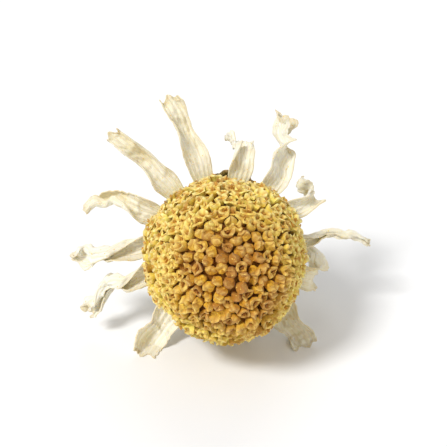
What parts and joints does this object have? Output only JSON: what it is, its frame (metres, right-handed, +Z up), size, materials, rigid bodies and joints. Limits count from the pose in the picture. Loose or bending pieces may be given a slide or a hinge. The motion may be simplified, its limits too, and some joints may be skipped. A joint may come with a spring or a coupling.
{
  "type": "dried chamomile flower head",
  "caption": "Dried chamomile flower head lying on its side: a domed yellow disc of tubular florets, shrivelled cream ray petals, a green-brown cup of bracts and a short bent stalk.",
  "frame": {"origin": "on the table, under the middle of the whole head's box", "axes": "+Z up from the table, -Y towards the side that the dome faces, +X to the right as seen from that side"},
  "size_m": [0.0154, 0.0189, 0.0121],
  "materials": {
    "disc_florets": "dry matt ochre-yellow florets with paler lobes and orange-brown mouths",
    "ray_petals": "thin papery cream petals with tan veins and curled edges",
    "bract_cup": "dry olive-straw bracts with pale papery margins",
    "stalk": "dry ribbed greenish-straw stalk"
  },
  "bodies": {
    "root": {"disc_florets": "disc_florets", "ray_petals": "ray_petals", "bract_cup": "bract_cup", "stalk": "stalk"}
  },
  "joints": []
}
